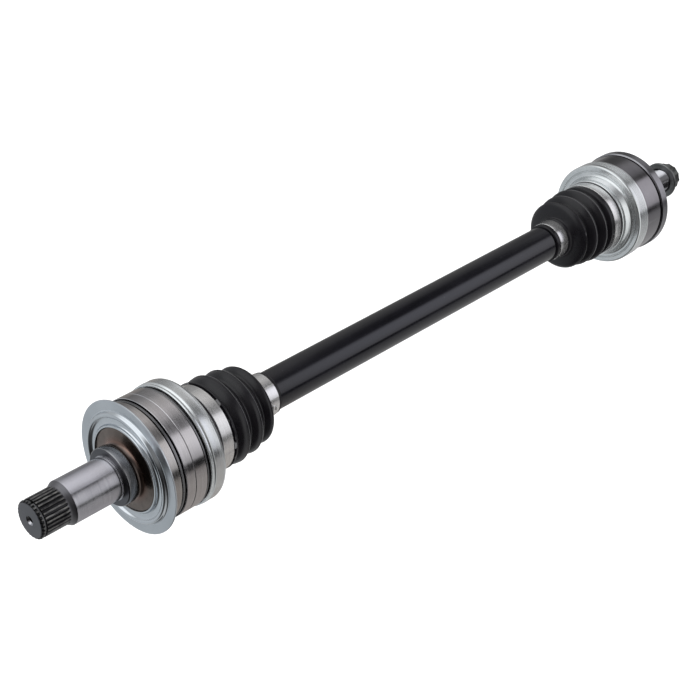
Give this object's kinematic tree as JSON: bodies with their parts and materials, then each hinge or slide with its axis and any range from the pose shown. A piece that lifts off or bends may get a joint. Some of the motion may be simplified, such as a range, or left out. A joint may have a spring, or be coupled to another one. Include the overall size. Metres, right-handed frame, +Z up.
{
  "type": "cv axle",
  "caption": "Drive shaft with a caged ball joint at each end, convoluted boots and clamps, a splined differential stub with a dust shield, and a splined, threaded hub stub.",
  "frame": {"origin": "on the shaft's axis, midway between the two stub ends", "axes": "+X along the shaft towards the outboard (hub) end, +Z up"},
  "size_m": [0.78, 0.1036, 0.1036],
  "materials": {
    "machined_steel": "turned and ground steel, satin",
    "zinc_plate": "bright zinc plate, satin",
    "stainless": "rolled stainless strip",
    "spring_steel": "dark spring steel",
    "rubber": "black moulded boot, satin",
    "black_paint": "gloss black paint",
    "black_phosphate": "black phosphate",
    "bearing_steel": "ground bearing steel"
  },
  "bodies": {
    "inboard_stub": {"inboard_stub_housing": "machined_steel", "inboard_dust_shield": "zinc_plate", "inboard_stub_circlip": "spring_steel", "inboard_seal_ring": "rubber", "inboard_boot_can": "zinc_plate", "inboard_boot_cuff": "rubber", "inboard_large_clamp": "stainless"},
    "inboard_slider": {"inboard_boot_fold_1": "rubber"},
    "inboard_top_ball": {"inboard_ball_1": "bearing_steel"},
    "inboard_cage_set": {"inboard_cage": "bearing_steel", "inboard_ball_2": "bearing_steel", "inboard_ball_3": "bearing_steel", "inboard_ball_5": "bearing_steel", "inboard_ball_6": "bearing_steel", "inboard_boot_fold_2": "rubber"},
    "inboard_bottom_ball": {"inboard_ball_4": "bearing_steel"},
    "shaft": {"axle_tube": "black_paint", "inboard_shaft_end": "machined_steel", "inboard_inner_race": "bearing_steel", "inboard_race_circlip": "spring_steel", "inboard_boot_neck": "rubber", "inboard_small_clamp": "stainless", "outboard_shaft_end": "machined_steel", "outboard_inner_race": "bearing_steel", "outboard_race_circlip": "spring_steel", "outboard_boot_neck": "rubber", "outboard_small_clamp": "stainless"},
    "outboard_top_ball": {"outboard_ball_1": "bearing_steel"},
    "outboard_cage_set": {"outboard_cage": "bearing_steel", "outboard_ball_2": "bearing_steel", "outboard_ball_3": "bearing_steel", "outboard_ball_5": "bearing_steel", "outboard_ball_6": "bearing_steel", "outboard_boot_folds": "rubber"},
    "outboard_bottom_ball": {"outboard_ball_4": "bearing_steel"},
    "outboard_stub": {"outboard_stub_housing": "machined_steel", "outboard_dust_ring": "machined_steel", "outboard_seal_ring": "rubber", "outboard_boot_can": "zinc_plate", "outboard_boot_cuff": "rubber", "outboard_large_clamp": "stainless", "axle_nut": "black_phosphate"}
  },
  "joints": [
    {"name": "inboard_bend_y", "type": "hinge", "parent": "shaft", "child": "inboard_top_ball", "pos_m": [-0.2785, 0, 0], "axis": [0, 1, 0], "range_deg": [-6, 6], "deforming": ["inboard_boot_neck"]},
    {"name": "inboard_bend_z", "type": "hinge", "parent": "inboard_top_ball", "child": "inboard_cage_set", "pos_m": [-0.2785, 0, 0], "axis": [0, 0, 1], "range_deg": [-6, 6], "deforming": ["inboard_boot_fold_2"]},
    {"name": "inboard_bend_z_stub", "type": "hinge", "parent": "inboard_cage_set", "child": "inboard_bottom_ball", "pos_m": [-0.2785, 0, 0], "axis": [0, 0, 1], "range_deg": [-6, 6]},
    {"name": "inboard_bend_y_stub", "type": "hinge", "parent": "inboard_bottom_ball", "child": "inboard_slider", "pos_m": [-0.2785, 0, 0], "axis": [0, 1, 0], "range_deg": [-6, 6], "deforming": ["inboard_boot_fold_1"]},
    {"name": "inboard_plunge", "type": "slide", "parent": "inboard_slider", "child": "inboard_stub", "axis": [1, 0, 0], "range_m": [-0.006, 0.006]},
    {"name": "outboard_bend_y", "type": "hinge", "parent": "shaft", "child": "outboard_top_ball", "pos_m": [0.2856, 0, 0], "axis": [0, 1, 0], "range_deg": [-6, 6], "deforming": ["outboard_boot_neck"]},
    {"name": "outboard_bend_z", "type": "hinge", "parent": "outboard_top_ball", "child": "outboard_cage_set", "pos_m": [0.2856, 0, 0], "axis": [0, 0, 1], "range_deg": [-6, 6], "deforming": ["outboard_boot_folds"]},
    {"name": "outboard_bend_z_hub", "type": "hinge", "parent": "outboard_cage_set", "child": "outboard_bottom_ball", "pos_m": [0.2856, 0, 0], "axis": [0, 0, 1], "range_deg": [-6, 6]},
    {"name": "outboard_bend_y_hub", "type": "hinge", "parent": "outboard_bottom_ball", "child": "outboard_stub", "pos_m": [0.2856, 0, 0], "axis": [0, 1, 0], "range_deg": [-6, 6]}
  ],
  "couplings": [
    {"joint": "inboard_bend_z_stub", "follows": "inboard_bend_z", "ratio": 1},
    {"joint": "inboard_bend_y_stub", "follows": "inboard_bend_y", "ratio": 1},
    {"joint": "outboard_bend_z_hub", "follows": "outboard_bend_z", "ratio": 1},
    {"joint": "outboard_bend_y_hub", "follows": "outboard_bend_y", "ratio": 1}
  ]
}
